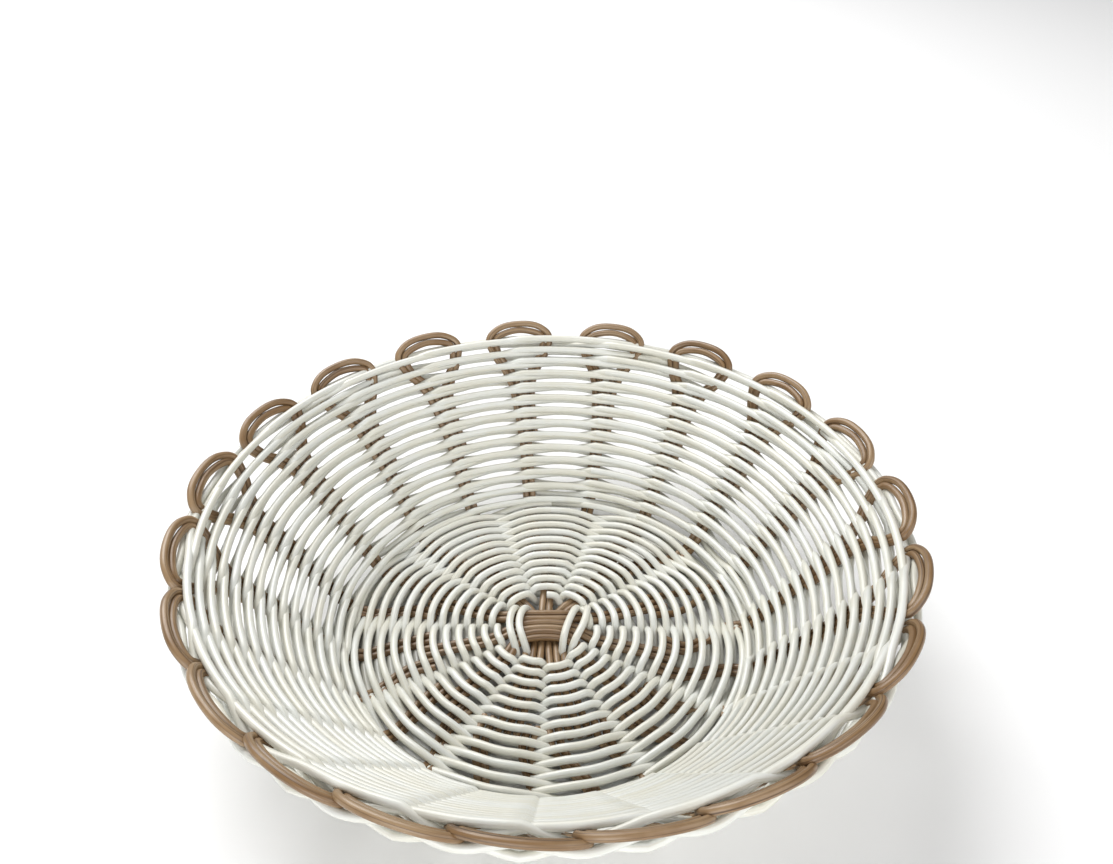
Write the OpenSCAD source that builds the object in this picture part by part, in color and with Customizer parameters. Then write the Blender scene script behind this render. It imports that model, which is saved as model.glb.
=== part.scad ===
// Round woven bread basket.
// A cross of long sticks carries the base, pairs of stakes rise from the base
// weave up the sloping wall and fold over into a scalloped border, and round
// strands fill the base and the wall. Millimetres, +Z up, standing on z = 0.

/* [Overall] */
// Radius of the base, at the innermost strand of the wall
base_r = 77.2; // [60:0.1:93]
// Radius of the mouth, at the topmost strand of the wall
mouth_r = 123.2; // [110:0.1:150]
// Height from the top of the base weave to the topmost strand of the wall
wall_h = 55; // [45:0.5:66]

/* [Strands] */
// Diameter of the pale weaving strand
strand_d = 2.9; // [2.4:0.05:3.5]
// Rounds of weaving up the wall
wall_rounds = 14; // [10:1:16]
// Rounds of weaving in the base
base_rounds = 12; // [7:1:13]
// Radius of the first round of the base weave
first_round_r = 19.2; // [18.5:0.1:24]
// How much thicker the foot strand is, before its underside is flattened
foot_extra = 0.5; // [0.4:0.05:1.2]
// Depth of the flat under the foot strand
foot_flat = 0.3; // [0.1:0.05:0.6]

/* [Crown of the base] */
// How far the middle of the base rises above its edge
crown_lift = 2.5; // [0:0.1:4]
// How far the middle of the base was set to the right, by hand
crown_right = -0.8; // [-2:0.1:2]
// How far the middle of the base was set to the back, by hand
crown_back = 1.5; // [-2:0.1:3]

/* [Rods] */
// Diameter of the brown rods
rod_d = 2.7; // [2.2:0.05:3.2]
// Gap between rods that lie side by side
rod_gap = 0.15; // [0.1:0.05:0.4]
// Radius at which the sticks of the centre cross end
stick_end_r = 50; // [44:0.5:54]
// Radius at which the stakes start beside the sticks
stake_start_r = 44; // [38:0.5:48]
// Height of a border loop above the topmost strand, along the wall
loop_rise = 9; // [5:0.25:12]
// Radius of a border loop
loop_r = 13; // [10.5:0.25:15.5]
// Length of wall, below the topmost strand, over which a loop closes
loop_neck = 30; // [24:0.5:36]
// Length of the tail tucked down the wall, below the neck of its loop
tail = 14; // [6:0.5:20]
// How far the hand-set spacing of the rods drifts around the basket, in degrees
wall_drift = 6; // [0:0.5:8]

/* [Hidden] */
$fn = 48;
LOOPS = 21;
GROUPS = 11;
LONE = 3;
STICKS = 6;
ROD_SIDES = 6;
BASE_DRIFT = 4.6;
FIRST_STAKE = 11.7;
FIRST_GROUP = 1;
BEND_STEPS = 3;
ARC_STEPS = 8;

// Radii, and the stack of layers in the base
rod = rod_d / 2;
strand = strand_d / 2;
step = rod_d + rod_gap;
foot_d = strand_d + foot_extra;
z_foot = foot_d / 2 - foot_flat;
z_under = foot_d - foot_flat - strand;
z_rod = z_under + strand + rod;
z_over = z_rod + rod + strand;
z_top = z_over + strand;

// Slope of the wall, and the spacing of its rounds
slant = norm([mouth_r - base_r, wall_h]);
wall_cos = (mouth_r - base_r) / slant;
wall_sin = wall_h / slant;
wall_angle = atan2(wall_h, mouth_r - base_r);
wall_pitch = slant / (wall_rounds - 1);
base_pitch = (base_r - strand_d - first_round_r) / (base_rounds - 1);
foot_r = base_r - strand_d + base_pitch / 2;

// Layers of the wall, counted outwards from the inner strands
n_rod = strand + rod;
n_out = 2 * n_rod;

STRAND_COLOR = [0.88, 0.87, 0.81];
ROD_COLOR = [0.45, 0.33, 0.22];

function numbered(name, i) = str(name, i < 9 ? "_0" : "_", i + 1);
STAKE_NODES = [for (i = [0 : LOOPS - 1]) numbered("stake_pair", i)];
BASE_NODES = [for (i = [0 : base_rounds - 1]) numbered("base_round", i)];
WALL_NODES = [for (i = [0 : wall_rounds - 1]) numbered("wall_round", i)];

// ---- places ----------------------------------------------------------------

// Compass angles run clockwise from +Y, seen from above.
function compass(a, r, z) = [r * sin(a), r * cos(a), z];
function drifted(a, amount) = a + amount * sin(a);
function stake_angle(k) = drifted(FIRST_STAKE + 360 * k / LOOPS, wall_drift);
function group_angle(g) = drifted(FIRST_GROUP + 360 * g / GROUPS, BASE_DRIFT);

// A point on the wall: u along the round, t up the slope, n outwards through it.
function wall_r(t, n) = base_r + t * wall_cos + n * wall_sin;
function wall_z(t, n) = z_top + t * wall_sin - n * wall_cos;
function on_wall(a, u, t, n) =
    compass(a + u / wall_r(t, n) * 180 / PI, wall_r(t, n), wall_z(t, n));
function wall_normal(a) = compass(a, wall_sin, -wall_cos);

// The base is a very low cone: the middle of a round of radius r sits here.
function crown(r) = (1 - r / base_r) * [crown_right, crown_back, crown_lift];

// A point in the base: r out from the centre, u sideways of the line at angle a.
function in_base(a, r, u) = crown(r) + compass(a, r, z_rod) + u * compass(a + 90, 1, 0);

// ---- a rod along a path ------------------------------------------------------

// Each station of a path is [point, normal]; the normal keeps the rod from twisting.
function unit(v) = v / norm(v);
function heading(path, i) =
    unit(path[min(i + 1, len(path) - 1)][0] - path[max(i - 1, 0)][0]);
function ring(path, i) =
    let (
        along = heading(path, i),
        side = unit(cross(along, path[i][1])),
        up = cross(side, along)
    )
    [for (s = [0 : ROD_SIDES - 1])
        path[i][0] + rod * (side * cos(360 * s / ROD_SIDES) + up * sin(360 * s / ROD_SIDES))];

module rod_along(path) {
    last = len(path) - 1;
    n = ROD_SIDES;
    points = [for (i = [0 : last]) each ring(path, i)];
    walls = [for (i = [0 : last - 1], s = [0 : n - 1])
        [i * n + s, i * n + (s + 1) % n, (i + 1) * n + (s + 1) % n, (i + 1) * n + s]];
    start_cap = [for (s = [n - 1 : -1 : 0]) s];
    end_cap = [for (s = [0 : n - 1]) last * n + s];
    polyhedron(points, concat([start_cap], walls, [end_cap]), convexity = 10);
}

// ---- stakes and their border loops -------------------------------------------

// Every group of sticks feeds two pairs of stakes, except the lone one.
function group_of(k) = (k < LONE ? ceil(k / 2) : floor(k / 2) + 1) % GROUPS;
function side_of(k) = k == LONE ? 0 : ((k < LONE) == (k % 2 == 0)) ? 1 : -1;
function sticks_in(g) = (g == 5 || g == 6) ? 3 : 2;

// Where a stake starts, sideways of its group's line: next to the sticks.
function start_offset(k, inner) =
    let (edge = (sticks_in(group_of(k)) + 1) / 2 * step)
    side_of(k) == 0 ? (inner ? edge : -edge)
    : side_of(k) > 0 ? edge + (inner ? step : 0)
    : -edge - (inner ? 0 : step);

bend_r = 3 * rod_d;
bend_at = base_r + n_rod * wall_sin - (z_top - n_rod * wall_cos - z_rod) / tan(wall_angle);
bend_back = bend_r * tan(wall_angle / 2);

function base_part(k, inner, u) =
    let (a = stake_angle(k), down = [0, 0, -1])
    [[in_base(group_angle(group_of(k)), stake_start_r, start_offset(k, inner)), down],
     [in_base(group_angle(group_of(k)), stake_start_r + 8, start_offset(k, inner)), down],
     [in_base(a, bend_at - bend_back - 5, u), down]];

// The quarter where the stake turns from the base up into the wall.
function bend_part(k, u) =
    let (a = stake_angle(k))
    [for (i = [0 : BEND_STEPS])
        let (
            turn = wall_angle * i / BEND_STEPS,
            r = bend_at - bend_back + bend_r * sin(turn),
            z = z_rod + bend_r * (1 - cos(turn))
        )
        [compass(a + u / r * 180 / PI, r, z), compass(a, sin(turn), -cos(turn))]];

// Up the wall, round the loop and back down beside itself.
function loop_part(k, inner, u) =
    let (
        a = stake_angle(k),
        radius = loop_r - (inner ? step : 0),
        centre_t = slant + loop_rise - loop_r,
        foot_u = (inner ? 0.5 : 1.5) * step,
        neck_t = slant - loop_neck,
        up_t = neck_t - tail,
        stations = concat(
            [[u, up_t], [-foot_u, neck_t]],
            [for (i = [0 : ARC_STEPS])
                let (turn = 200 - 220 * i / ARC_STEPS)
                [radius * cos(turn), centre_t + radius * sin(turn)]],
            [[foot_u, neck_t], [foot_u, up_t + 3]])
    )
    [for (s = stations) [on_wall(a, s[0], s[1], n_rod), wall_normal(a)]];

module stake(k, inner) {
    u = (inner ? 0.5 : -0.5) * step;
    rod_along(concat(base_part(k, inner, u), bend_part(k, u), loop_part(k, inner, u)));
}

module stake_pair(k) {
    color(ROD_COLOR) {
        stake(k, false);
        stake(k, true);
    }
}

// ---- the cross of sticks in the centre ---------------------------------------

// Half of a stick: from the middle of the cross out to its place in a group.
cross_half = STICKS * step / 2;
function stick_half(from, lift, g, slot) =
    let (
        a = group_angle(g),
        u = (slot - (sticks_in(g) - 1) / 2) * step,
        raised = crown(0) + [0, 0, z_rod + lift]
    )
    [[from + raised, [0, 0, -1]],
     [in_base(a, first_round_r + strand_d, u), [0, 0, -1]],
     [in_base(a, stick_end_r, u), [0, 0, -1]]];

module stick(from_a, g_a, slot_a, from_b, g_b, slot_b, lift) {
    a = stick_half(from_a, lift, g_a, slot_a);
    b = stick_half(from_b, lift, g_b, slot_b);
    rod_along(concat([a[2], a[1], a[0]], b));
}

// Six sticks from left to right, over the six that run from front to back
module sticks_across() {
    color(ROD_COLOR)
    for (i = [0 : STICKS - 1]) {
        y = (i - (STICKS - 1) / 2) * step;
        pair = floor(i / 2);
        stick([-cross_half, y, 0], 7 + pair, i % 2, [cross_half, y, 0], 4 - pair, 1 - i % 2, rod);
    }
}

module sticks_along() {
    color(ROD_COLOR)
    for (i = [0 : STICKS - 1]) {
        x = (i - (STICKS - 1) / 2) * step;
        pair = floor(i / 2);
        front = floor(i / 3);
        stick([x, -cross_half, 0], 6 - front, 2 - i % 3,
              [x, cross_half, 0], (10 + pair) % GROUPS, i % 2, -rod);
    }
}

// Two turns of strand that hold the cross down on either side
module centre_binding() {
    z = z_rod + 2 * rod + strand;
    color(STRAND_COLOR)
    for (x = [-1, 1])
        translate(crown(0) + [x * (cross_half + strand), 0, z])
            rotate([90, 0, 0])
                cylinder(d = strand_d, h = 2 * cross_half + strand_d, center = true);
}

// ---- rings of strand ----------------------------------------------------------

module strand_ring(r, z, d = strand_d) {
    translate([0, 0, z])
        rotate_extrude()
            translate([r, 0])
                circle(d = d);
}

// A round of the base weave: one turn over the rods and one under them
module base_round(i) {
    r = first_round_r + i * base_pitch;
    r_under = r + base_pitch / 2;
    color(STRAND_COLOR) {
        translate(crown(r)) strand_ring(r, z_over);
        if (i < base_rounds - 1) translate(crown(r_under)) strand_ring(r_under, z_under);
    }
}

// A round of the wall weave: one turn inside the stakes and one outside
module wall_round(i) {
    t = i * wall_pitch;
    t_out = t + wall_pitch / 2;
    color(STRAND_COLOR) {
        strand_ring(wall_r(t, 0), wall_z(t, 0));
        if (i < wall_rounds - 1) strand_ring(wall_r(t_out, n_out), wall_z(t_out, n_out));
    }
}

// The strand outside the legs of the border loops
module rim_strand() {
    t = slant + strand;
    color(STRAND_COLOR) strand_ring(wall_r(t, n_out), wall_z(t, n_out));
}

// The strand that the basket stands on, flat underneath
module foot_strand() {
    color(STRAND_COLOR)
    difference() {
        strand_ring(foot_r, z_foot, foot_d);
        translate([0, 0, -foot_d]) cylinder(r = 2 * foot_r, h = foot_d);
    }
}

sticks_across();
sticks_along();
centre_binding();
foot_strand();
rim_strand();
for (k = [0 : LOOPS - 1])
    stake_pair(k);
for (i = [0 : base_rounds - 1])
    base_round(i);
for (i = [0 : wall_rounds - 1])
    wall_round(i);
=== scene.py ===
"""Round woven bread basket: a cross of brown sticks, paired stakes with looped ends, pale woven strand."""

import math

import bmesh
import bpy
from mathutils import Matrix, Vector


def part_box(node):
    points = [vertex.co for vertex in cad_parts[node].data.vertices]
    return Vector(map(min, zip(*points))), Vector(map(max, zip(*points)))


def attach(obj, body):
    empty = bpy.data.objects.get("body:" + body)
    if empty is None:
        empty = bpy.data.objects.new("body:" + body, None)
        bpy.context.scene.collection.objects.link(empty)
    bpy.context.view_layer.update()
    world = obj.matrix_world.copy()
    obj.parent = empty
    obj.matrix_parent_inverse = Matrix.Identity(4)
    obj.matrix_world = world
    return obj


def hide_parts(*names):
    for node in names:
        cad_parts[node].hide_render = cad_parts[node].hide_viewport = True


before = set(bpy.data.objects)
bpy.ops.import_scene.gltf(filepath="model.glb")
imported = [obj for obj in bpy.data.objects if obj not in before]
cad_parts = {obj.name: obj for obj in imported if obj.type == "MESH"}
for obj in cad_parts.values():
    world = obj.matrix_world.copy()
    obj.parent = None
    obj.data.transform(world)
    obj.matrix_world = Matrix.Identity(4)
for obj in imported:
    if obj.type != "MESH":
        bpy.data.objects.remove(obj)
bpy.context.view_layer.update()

# ---- counts and angles -----------------------------------------------------------------

LOOPS = 21
GROUPS = 11
STICKS = 6
LONE_STAKE = 3  # the one stake pair that lies on both sides of its group
WIDE_GROUPS = (5, 6)  # the groups at the front, which take three sticks each
FIRST_STAKE = 11.7  # degrees
FIRST_GROUP = 1.0
WALL_DRIFT = 6.0  # degrees that the stakes at the sides are drawn to the front
BASE_DRIFT = 4.6


def named(stem):
    """The CAD nodes of one kind, in order."""
    return sorted(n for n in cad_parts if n.startswith(stem))


WALL_NODES = named("wall_round")
BASE_NODES = named("base_round")
STAKE_NODES = named("stake_pair")

# ---- sizes, in metres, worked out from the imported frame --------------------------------

ROD_D = 0.0027
ROD_GAP = 0.00015
FOOT_EXTRA = 0.0005

first_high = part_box(WALL_NODES[0])[1]
last_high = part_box(WALL_NODES[-2])[1]
top_low, top_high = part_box(WALL_NODES[-1])
foot_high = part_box("foot_strand")[1]
rim_low, rim_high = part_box("rim_strand")
binding_low, binding_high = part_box("centre_binding")

strand = (top_high.z - top_low.z) / 2
rod = ROD_D / 2
step = ROD_D + ROD_GAP
layer = strand + rod

wall_rounds = len(WALL_NODES)
run = (last_high.x - first_high.x) / (wall_rounds - 2)
rise = (last_high.z - first_high.z) / (wall_rounds - 2)
pitch = math.hypot(run, rise)
wall_cos = run / pitch
wall_sin = rise / pitch
slant = pitch * (wall_rounds - 1)
base_r = top_high.x - strand - slant * wall_cos
z_top = top_high.z - strand - slant * wall_sin

foot_radius = strand + FOOT_EXTRA / 2
foot_r = foot_high.x - foot_radius
z_rod = foot_high.z + rod
last_round_r = base_r - 2 * strand
base_pitch = 2 * (foot_r - last_round_r)
first_round_r = last_round_r - base_pitch * (len(BASE_NODES) - 1)
cross_half = STICKS * step / 2
binding_z = z_rod + 2 * rod + strand
crown = (binding_low + binding_high) / 2
crown.z = binding_high.z - strand - binding_z

# ---- places ----------------------------------------------------------------------------


def compass(angle, r, z=0.0):
    """A point by its compass angle, clockwise from +Y seen from above."""
    return Vector((r * math.sin(math.radians(angle)), r * math.cos(math.radians(angle)), z))


def drifted(angle, amount):
    """An angle moved towards the front by up to the given number of degrees."""
    return angle + amount * math.sin(math.radians(angle))


def towards_front(angle):
    """0 at the back of the basket and 1 at the front."""
    return (1 - math.cos(math.radians(angle))) / 2


def stake_angle(k):
    """The angle of stake pair k; k may be any number, and goes round and round."""
    return drifted(FIRST_STAKE + 360 * k / LOOPS, WALL_DRIFT)


def group_angle(g):
    """The angle of group g of rods in the base; g may be any number."""
    return drifted(FIRST_GROUP + 360 * g / GROUPS, BASE_DRIFT)


def on_wall(angle, u, t, n):
    """A point on the wall: u along the round, t up the slope, n outwards through it."""
    r = base_r + t * wall_cos + n * wall_sin
    return compass(angle + math.degrees(u / r), r, z_top + t * wall_sin - n * wall_cos)


def in_base(angle, r, u, lift=0.0):
    """A point in the base: r out from the centre and u sideways of the line at that angle."""
    risen = crown * max(0, 1 - r / base_r)
    return risen + compass(angle, r, z_rod + lift) + u * compass(angle + 90, 1)


def profile(keys, x):
    """Values that run smoothly through keys of (x, value, ...), by a cubic through each gap."""
    i = max(j for j in range(len(keys) - 1) if keys[j][0] <= x or j == 0)
    before = keys[max(i - 1, 0)]
    a, b = keys[i], keys[i + 1]
    after = keys[min(i + 2, len(keys) - 1)]
    gap = b[0] - a[0]
    s = (x - a[0]) / gap
    found = []
    for c in range(1, len(a)):
        slope_a = (b[c] - before[c]) / (b[0] - before[0]) * gap
        slope_b = (after[c] - a[c]) / (after[0] - a[0]) * gap
        found.append(
            (2 * s**3 - 3 * s**2 + 1) * a[c] + (s**3 - 2 * s**2 + s) * slope_a
            + (3 * s**2 - 2 * s**3) * b[c] + (s**3 - s**2) * slope_b
        )
    return found


def smooth_path(points, steps):
    """A smooth run of points through the given ones."""
    keys = []
    reach = 0.0
    for i, p in enumerate(points):
        if i:
            reach += (p - points[i - 1]).length
        keys.append((reach, *p))
    path = []
    for i in range(len(keys) - 1):
        for s in range(steps):
            path.append(Vector(profile(keys, keys[i][0] + (keys[i + 1][0] - keys[i][0]) * s / steps)))
    path.append(points[-1].copy())
    return path


# ---- rods and strands ------------------------------------------------------------------

SIDES = 12
RUN_SPACING = 3.7  # metres of grain between the start of one run and the next
SEAM = 0.9999  # past this, the curve's own grain has come back to its start

runs_so_far = 0


def lay_grain(mesh, runs, closed):
    """Stretches the grain to metres along each run, which starts at a place of its own."""
    global runs_so_far
    reach = []
    for points in runs:
        along = [RUN_SPACING * runs_so_far]
        for i in range(1, len(points) + closed):
            along.append(along[-1] + (points[i % len(points)] - points[i - 1]).length)
        reach += [(along[i], along[-1]) for i in range(len(points))]
        runs_so_far += 1
    caps = len(mesh.vertices) - SIDES * len(reach)
    for loop, corner in zip(mesh.loops, mesh.uv_layers[0].uv):
        if loop.vertex_index >= caps:
            here, end = reach[(loop.vertex_index - caps) // SIDES]
            back_at_start = closed and corner.vector.x > SEAM
            corner.vector.x = end if back_at_start else here


def tube(name, runs, radius, closed=False):
    """Round cane along each run of points, as one mesh with its grain stored on it."""
    curve = bpy.data.curves.new(name, "CURVE")
    curve.dimensions = "3D"
    curve.bevel_depth = radius
    curve.bevel_resolution = SIDES // 2 - 2
    curve.use_fill_caps = not closed
    for points in runs:
        spline = curve.splines.new("POLY")
        spline.points.add(len(points) - 1)
        spline.points.foreach_set("co", [c for p in points for c in (*p, 1.0)])
        spline.use_cyclic_u = closed
    holder = bpy.data.objects.new(name, curve)
    bpy.context.scene.collection.objects.link(holder)
    seen = holder.evaluated_get(bpy.context.evaluated_depsgraph_get())
    mesh = bpy.data.meshes.new_from_object(seen)
    bpy.data.objects.remove(holder)
    bpy.data.curves.remove(curve)
    mesh.name = name
    lay_grain(mesh, runs, closed)
    piece = bpy.data.objects.new(name, mesh)
    bpy.context.scene.collection.objects.link(piece)
    mesh.shade_smooth()
    return piece


def finish_piece(piece, material, node):
    """Gives a piece its finish and its place on the body, and hides the CAD node that it stands for."""
    piece.data.materials.clear()
    piece.data.materials.append(material)
    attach(piece, "root")
    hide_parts(node)


# ---- finishes --------------------------------------------------------------------------


class Value:
    """One number in a finish; sums and products of these add the nodes that work them out."""

    def __init__(self, finish, socket):
        self.finish = finish
        self.socket = socket

    def math(self, operation, *others):
        made = self.finish.node("ShaderNodeMath", {"operation": operation}, dict(enumerate((self, *others))))
        return Value(self.finish, made.outputs[0])

    def flipped(self, operation, other):
        made = self.finish.node("ShaderNodeMath", {"operation": operation}, {0: other, 1: self})
        return Value(self.finish, made.outputs[0])

    def __add__(self, other):
        return self.math("ADD", other)

    def __radd__(self, other):
        return self.flipped("ADD", other)

    def __sub__(self, other):
        return self.math("SUBTRACT", other)

    def __rsub__(self, other):
        return self.flipped("SUBTRACT", other)

    def __mul__(self, other):
        return self.math("MULTIPLY", other)

    def __rmul__(self, other):
        return self.flipped("MULTIPLY", other)


class Finish:
    """A material under construction."""

    def __init__(self, name):
        self.material = bpy.data.materials.new(name)
        self.material.use_nodes = True
        self.tree = self.material.node_tree
        self.shader = self.tree.nodes["Principled BSDF"]

    def plug(self, value, socket):
        """Links a value to a socket, or sets the socket where the value is a plain number or colour."""
        if isinstance(value, Value):
            self.tree.links.new(value.socket, socket)
        else:
            socket.default_value = value

    def node(self, kind, settings=None, inputs=None):
        """Adds a node of any kind, with its settings and what goes into it."""
        made = self.tree.nodes.new(kind)
        for key, value in (settings or {}).items():
            setattr(made, key, value)
        for key, value in (inputs or {}).items():
            self.plug(value, made.inputs[key])
        return made

    def noise(self, place, scale, detail):
        made = self.node("ShaderNodeTexNoise", {}, {"Vector": place, "Scale": scale, "Detail": detail})
        return Value(self, made.outputs[0])

    def vector(self, x, y, z):
        return Value(self, self.node("ShaderNodeCombineXYZ", {}, {0: x, 1: y, 2: z}).outputs[0])

    def step_between(self, value, low, high):
        """0 below low, 1 above high and a smooth rise between them."""
        made = self.node("ShaderNodeMapRange", {"interpolation_type": "SMOOTHSTEP"},
                         {"Value": value, "From Min": low, "From Max": high})
        return Value(self, made.outputs[0])

    def blend(self, factor, a, b):
        """Colour a where the factor is 0 and colour b where it is 1."""
        made = self.node("ShaderNodeMix", {"data_type": "RGBA"}, {0: factor, 6: a, 7: b})
        return Value(self, made.outputs[2])

    def set(self, **inputs):
        """Sets or links the shader's own sockets, named with _ for each space."""
        for key, value in inputs.items():
            self.plug(value, self.shader.inputs[key.replace("_", " ")])


def cane(name, body, light, dark, streaks, roughness, coat, relief):
    """Plastic cane: slow changes of tone along the strand, fine streaks and a faint relief."""
    finish = Finish(name)
    grain = finish.node("ShaderNodeSeparateXYZ", {}, {
        0: Value(finish, finish.node("ShaderNodeUVMap", {"uv_map": "UVMap"}).outputs[0])})
    along = Value(finish, grain.outputs[0])
    turn = Value(finish, grain.outputs[1]) * math.tau
    across = turn.math("COSINE"), turn.math("SINE")
    body_place = Value(finish, finish.node("ShaderNodeTexCoord").outputs["Object"])

    def stretched(along_scale, across_scale, detail):
        """Noise that is drawn out along the strand and closes up round it."""
        place = finish.vector(along * along_scale, across[0] * across_scale, across[1] * across_scale)
        return finish.noise(place, 1.0, detail)

    slow = stretched(11, 0.4, 2.0)
    fibre = stretched(14, 3.2, 3.0)
    scratch = stretched(60, 8, 2.0)
    mottle = finish.noise(body_place, 90.0, 3.0)

    tone = finish.blend(finish.step_between(slow + (mottle - 0.5) * 0.6, 0.35, 0.65), body, light)
    shade = finish.step_between(fibre, 0.48, 0.72) * streaks
    finish.set(
        Base_Color=finish.blend(shade, tone, dark),
        Roughness=roughness + (fibre - 0.5) * 0.25 + (scratch - 0.5) * 0.15,
        IOR=1.5,
        Coat_Weight=coat,
        Coat_Roughness=0.25,
    )
    bump = finish.node("ShaderNodeBump", {}, {
        "Strength": relief, "Distance": 0.0002, "Height": fibre * 0.7 + scratch * 0.3})
    finish.plug(Value(finish, bump.outputs[0]), finish.shader.inputs["Normal"])
    return finish.material


PALE = cane(
    "pale_cane",
    body=(0.70, 0.69, 0.61, 1), light=(0.73, 0.74, 0.70, 1), dark=(0.56, 0.52, 0.40, 1),
    streaks=0.35, roughness=0.34, coat=0.3, relief=0.3,
)
BROWN = cane(
    "brown_cane",
    body=(0.215, 0.125, 0.055, 1), light=(0.315, 0.21, 0.115, 1), dark=(0.06, 0.03, 0.013, 1),
    streaks=0.9, roughness=0.4, coat=0.2, relief=0.6,
)

# ---- the wall: rounds of three strands -------------------------------------------------

# One strand over three stakes: place in stakes, layer through the wall (0 inside the
# stakes, 2 outside), height in thirds of the pitch, and 1 where it lies on the outside.
WALE = [
    (0.0, -0.25, 0.0, 0.0), (0.5, -0.1, 0.0, 0.0), (0.9, 0.0, 0.0, 0.0), (1.0, 0.15, 0.0, 0.0),
    (1.2, 0.65, 0.25, 0.1), (1.45, 0.95, 0.65, 0.6), (1.75, 1.4, 0.55, 1.0), (2.0, 2.1, 0.0, 1.0),
    (2.25, 1.5, -0.8, 1.0), (2.5, 1.2, -1.15, 1.0), (2.72, 0.75, -1.0, 0.5), (2.86, 0.3, -0.5, 0.0),
    (3.0, -0.25, 0.0, 0.0),
]
WALE_STEPS = 24
LEG_ROUNDS = 4  # rounds at the top, where the strands pass outside the legs of the loops
PAST_LEGS = 0.6  # layers farther out that they go there
OUTER_SAG = 2.0  # thirds of the pitch that the outside strands sink at the front
EDGE_SPREAD = {0: 0.35, 1: 0.7, wall_rounds - 2: 0.7, wall_rounds - 1: 0.35}  # closer at the edges


def wale_strand(j, family):
    """One of the three strands of wall round j."""
    spread = EDGE_SPREAD.get(j, 1.0)
    past_legs = PAST_LEGS if j >= wall_rounds - LEG_ROUNDS else 0
    points = []
    for period in range(LOOPS // 3):
        for s in range(WALE_STEPS):
            x = 3 * s / WALE_STEPS
            angle = stake_angle(3 * period + family + x)
            n, h, outside = profile(WALE, x)
            n += past_legs * outside
            h -= OUTER_SAG * outside * towards_front(angle)
            t = pitch * (j + spread * (family - 1 + h) / 3)
            points.append(on_wall(angle, 0, t, n * layer))
    return points


for j, node in enumerate(WALL_NODES):
    piece = tube(f"woven_{node}", [wale_strand(j, f) for f in range(3)], strand, closed=True)
    finish_piece(piece, PALE, node)

# ---- the base: one strand, over a group of rods and under the next ---------------------

WEAVE_STEPS = 24
GROUP_HALF = 0.007  # half the width of a group of rods
EDGE_SLACK = 0.04  # the strand starts to dive this share of a space before the group's edge
MOST_HOLD = 0.3
TUCK = 0.13  # pitches that the strand is drawn in where it passes under
BULGE = 0.003


def over_under(x, r):
    """1 over the rods of a group, at even x, and -1 under them; the dive is steep near the cross."""
    hold = min(MOST_HOLD, max(0, GROUP_HALF * GROUPS / (math.tau * r) - EDGE_SLACK))
    past = (abs((x + 1) % 2 - 1) - hold) / (1 - 2 * hold)
    return math.cos(math.pi * max(0, min(1, past)))


def base_strand(i):
    """Two turns of the base strand, which lie over each group once."""
    points = []
    for pair in range(GROUPS):
        for s in range(WEAVE_STEPS + (pair == GROUPS - 1)):
            x = 2 * s / WEAVE_STEPS
            out = (pair + x / 2) / GROUPS - TUCK * (1 - math.cos(math.pi * x)) / 2
            r = first_round_r + base_pitch * (i + out - 0.5)
            over = over_under(x, r)
            r *= 1 + BULGE * math.cos(2 * math.pi * x)
            points.append(in_base(group_angle(2 * pair + x), r, 0, over * layer))
    return points


for i, node in enumerate(BASE_NODES):
    piece = tube(f"woven_{node}", [base_strand(i)], strand)
    finish_piece(piece, PALE, node)

# ---- the stakes and their loops --------------------------------------------------------

STAKE_N = 1.1 * layer
STAKE_START_R = 0.044
STAKE_LEAVE_R = 0.054  # here the stakes leave their group for their place on the wall
STAKE_DIP = 0.0011  # below the plane of the base, to clear the strand between groups
STICK_END_R = 0.050
FAN = 0.2
LOOP_RISE = 0.0082
LOOP_HALF = 0.0136
LOOP_SPREAD = 0.0048  # how much wider to each side the loops are at the front
LOOP_TWIST = 0.0007  # one side of a loop stands out and the other in, past its neighbours
NECK = 0.021  # down the wall from the top round to where the legs of a loop meet
TAIL = 0.025  # on down from there to the tucked end
TAIL_SHORT = 0.003
WALL_FOOT = 0.014
BEND_CLEAR = 0.004
BEND_STEPS = 3
STAKE_STEPS = 5

bend_r = 3 * ROD_D
wall_angle = math.atan2(wall_sin, wall_cos)
bend_at = base_r + STAKE_N * wall_sin - (z_top - STAKE_N * wall_cos - z_rod) / math.tan(wall_angle)
bend_from = bend_at - bend_r * math.tan(wall_angle / 2)


def group_of(k):
    """The group of rods that stake pair k lies in."""
    return (math.ceil(k / 2) if k < LONE_STAKE else k // 2 + 1) % GROUPS


def side_of(k):
    """1 or -1 for the side of its group that stake pair k lies on, 0 where it is on both."""
    if k == LONE_STAKE:
        return 0
    return 1 if (k < LONE_STAKE) == (k % 2 == 0) else -1


def sticks_in(g):
    return 3 if g in WIDE_GROUPS else 2


def start_offset(k, inner):
    """How far to the side of its group's line a stake starts, in rods."""
    edge = (sticks_in(group_of(k)) + 1) / 2
    if side_of(k) == 0:
        return edge if inner else -edge
    if side_of(k) > 0:
        return edge + (1 if inner else 0)
    return -edge - (0 if inner else 1)


def fanned(slot, r):
    """Rods of a group lie side by side near the cross and fan apart farther out."""
    return slot * step * (1 + FAN * max(0, min(1, (r - first_round_r) / (STICK_END_R - first_round_r))))


def leg_side(inner):
    """How far a leg of a loop stands to the side of its stake where the two legs meet."""
    return (0.5 if inner else 1.5) * step


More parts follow.
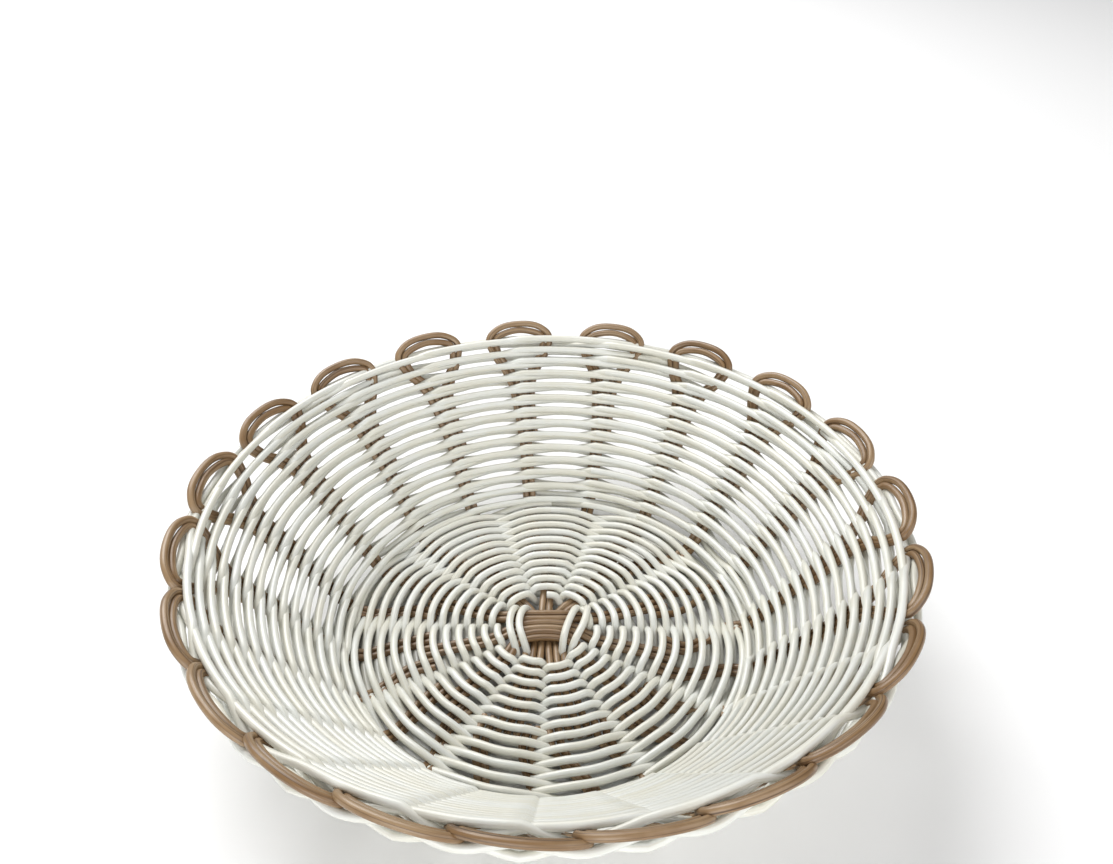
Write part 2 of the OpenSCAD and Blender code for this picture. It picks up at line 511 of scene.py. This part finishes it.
def loop_points(angle, inner):
    """A border loop in the wall's own plane: (u, t) from one neck to the other."""
    half = LOOP_HALF + LOOP_SPREAD * towards_front(angle) - (step if inner else 0)
    top = slant + LOOP_RISE - (step if inner else 0)
    foot = leg_side(inner)
    neck = slant - NECK
    side = [
        (foot, neck), (foot + (half - foot) * 0.32, neck + NECK * 0.4), (half * 0.8, slant - 0.0065),
        (half, slant + 0.0005), (half * 0.92, slant + (top - slant) * 0.5), (half * 0.55, top - 0.0009),
    ]
    return [(-u, t) for u, t in side] + [(0, top)] + side[::-1]


def stake_points(k, inner):
    """One rod of a stake pair: out through the base, up the wall, over its loop and down again."""
    angle = stake_angle(k)
    group = group_angle(group_of(k))
    u = (0.5 if inner else -0.5) * step
    offset = start_offset(k, inner)
    keys = [
        in_base(group, STAKE_START_R, fanned(offset, STAKE_START_R)),
        in_base(group, STAKE_LEAVE_R, fanned(offset, STICK_END_R), -STAKE_DIP),
        in_base(angle, bend_from - BEND_CLEAR, u, -STAKE_DIP),
    ]
    for i in range(BEND_STEPS + 1):
        turn = wall_angle * i / BEND_STEPS
        r = bend_from + bend_r * math.sin(turn)
        keys.append(compass(angle + math.degrees(u / r), r, z_rod + bend_r * (1 - math.cos(turn))))
    tail_end = slant - NECK - TAIL
    keys += [on_wall(angle, u, WALL_FOOT, STAKE_N), on_wall(angle, u, tail_end, STAKE_N)]
    for side, t in loop_points(angle, inner):
        keys.append(on_wall(angle, side, t, STAKE_N - LOOP_TWIST * side / LOOP_HALF))
    keys.append(on_wall(angle, leg_side(inner), tail_end + TAIL_SHORT, STAKE_N))
    return smooth_path(keys, STAKE_STEPS)


for k, node in enumerate(STAKE_NODES):
    piece = tube(f"looped_{node}", [stake_points(k, False), stake_points(k, True)], step / 2)
    finish_piece(piece, BROWN, node)

# ---- the cross of sticks ---------------------------------------------------------------

CROSS_CLEAR = 0.002
STICK_MIDDLE_R = 0.036
STICK_STEPS = 8


def stick_half(start, g, slot):
    """Half a stick, from the edge of the cross out into its slot in group g."""
    place = slot - (sticks_in(g) - 1) / 2
    reach = (first_round_r + CROSS_CLEAR, STICK_MIDDLE_R, STICK_END_R)
    return [start] + [in_base(group_angle(g), r, fanned(place, r)) for r in reach]


def stick(start_a, g_a, slot_a, start_b, g_b, slot_b, lift):
    """A stick that crosses the centre and ends in a group on each side of it."""
    lifted = crown + Vector((0, 0, z_rod + lift))
    half_a = stick_half(start_a + lifted, g_a, slot_a)
    half_b = stick_half(start_b + lifted, g_b, slot_b)
    return smooth_path(half_a[::-1] + half_b, STICK_STEPS)


across, along = [], []
for i in range(STICKS):
    at = (i - (STICKS - 1) / 2) * step
    pair, front = i // 2, i // 3
    across.append(stick(Vector((-cross_half, at, 0)), 7 + pair, i % 2,
                        Vector((cross_half, at, 0)), 4 - pair, 1 - i % 2, rod))
    along.append(stick(Vector((at, -cross_half, 0)), 6 - front, 2 - i % 3,
                       Vector((at, cross_half, 0)), (10 + pair) % GROUPS, i % 2, -rod))
finish_piece(tube("cross_sticks_across", across, rod), BROWN, "sticks_across")
finish_piece(tube("cross_sticks_along", along, rod), BROWN, "sticks_along")

# ---- the binding over the cross --------------------------------------------------------

BINDING_STEPS = 24
BINDING_DIVE = 0.0062
BINDING_CLEAR = 0.003


def binding_strand(front_x, middle_x, back_x):
    """A strand over the cross, from front to back; it may lean and bow, and dives at both ends."""
    points = []
    for i in range(BINDING_STEPS + 1):
        y = 2 * i / BINDING_STEPS - 1
        lean = ((back_x - front_x) * y + front_x + back_x) / 2
        bow = (middle_x - (front_x + back_x) / 2) * (1 - y * y)
        place = Vector((lean + bow, y * (cross_half + BINDING_CLEAR), binding_z - BINDING_DIVE * abs(y) ** 5))
        points.append(crown + place)
    return points


left = -cross_half - strand
right = cross_half + strand
binding = [
    binding_strand(left + 0.0035, left, left + 0.0035),
    binding_strand(left - 0.0005, left - 0.0037, left - 0.0005),
    binding_strand(right - 0.0035, right - 0.001, right + 0.0035),
    binding_strand(right - 0.0005, right + 0.005, right + 0.0065),
]
finish_piece(tube("cross_binding", binding, strand), PALE, "centre_binding")

# ---- rim and foot ----------------------------------------------------------------------

RIM_STEPS = 20
RIM_LAYER = 1.85
RIM_WAVE = 0.5
FOOT_STEPS = 180

rim_r = rim_high.x - strand
rim_z = (rim_low.z + rim_high.z) / 2
rim_t = (rim_r - base_r) * wall_cos + (rim_z - z_top) * wall_sin
rim_points = []
for s in range(LOOPS * RIM_STEPS):
    x = s / RIM_STEPS
    n = layer * (RIM_LAYER - RIM_WAVE * math.cos(2 * math.pi * x))
    rim_points.append(on_wall(stake_angle(x), 0, rim_t, n))
finish_piece(tube("rim_ring", [rim_points], strand, closed=True), PALE, "rim_strand")

foot_points = [compass(360 * s / FOOT_STEPS, foot_r, foot_high.z - foot_radius) for s in range(FOOT_STEPS)]
foot_ring = tube("foot_ring", [foot_points], foot_radius, closed=True)
for vertex in foot_ring.data.vertices:
    vertex.co.z = max(vertex.co.z, 0)  # the strand is pressed flat where it stands
finish_piece(foot_ring, PALE, "foot_strand")

# ---- stage, light and camera -----------------------------------------------------------

FLOOR_HALF = 4
FLOOR_TONE = 0.93
STUDIO_GLOW = 0.14
LAMP_SIZE = 1.2
CAMERA_PLACE = (0.0036, -0.2925, 0.3096 + z_top)
CAMERA_DIP = 36.33  # degrees below the horizon
CAMERA_LENS = 35.08


def stage():
    """A plain pale floor."""
    mesh = bpy.data.meshes.new("floor")
    bm = bmesh.new()
    bmesh.ops.create_grid(bm, x_segments=1, y_segments=1, size=FLOOR_HALF)
    bm.to_mesh(mesh)
    bm.free()
    floor = bpy.data.objects.new("floor", mesh)
    bpy.context.scene.collection.objects.link(floor)
    paint = Finish("floor_paint")
    paint.set(Base_Color=(FLOOR_TONE, FLOOR_TONE, FLOOR_TONE, 1), Roughness=0.9)
    floor.data.materials.append(paint.material)


def lamp(name, place, power):
    """A wide soft lamp that faces the basket."""
    light = bpy.data.lights.new(name, "AREA")
    light.shape = "DISK"
    light.size = LAMP_SIZE
    light.energy = power
    holder = bpy.data.objects.new(name, light)
    holder.location = place
    holder.rotation_euler = (-Vector(place)).to_track_quat("-Z", "Y").to_euler()
    bpy.context.scene.collection.objects.link(holder)


stage()
lamp("key_light", (-0.5, 0.8, 1.1), 24)
lamp("fill_light", (0.9, -0.7, 0.8), 9)
lamp("low_light", (-0.4, -1.3, 0.5), 14)
world = bpy.data.worlds.new("studio")
world.use_nodes = True
world.node_tree.nodes["Background"].inputs["Color"].default_value = (1, 1, 1, 1)
world.node_tree.nodes["Background"].inputs["Strength"].default_value = STUDIO_GLOW
bpy.context.scene.world = world
bpy.context.scene.view_settings.view_transform = "Standard"

camera_data = bpy.data.cameras.new("camera")
camera_data.lens = CAMERA_LENS
camera_data.clip_start = 0.01
camera = bpy.data.objects.new("camera", camera_data)
camera.location = CAMERA_PLACE
camera.rotation_euler = (math.radians(90 - CAMERA_DIP), 0, 0)
bpy.context.scene.collection.objects.link(camera)
bpy.context.scene.camera = camera
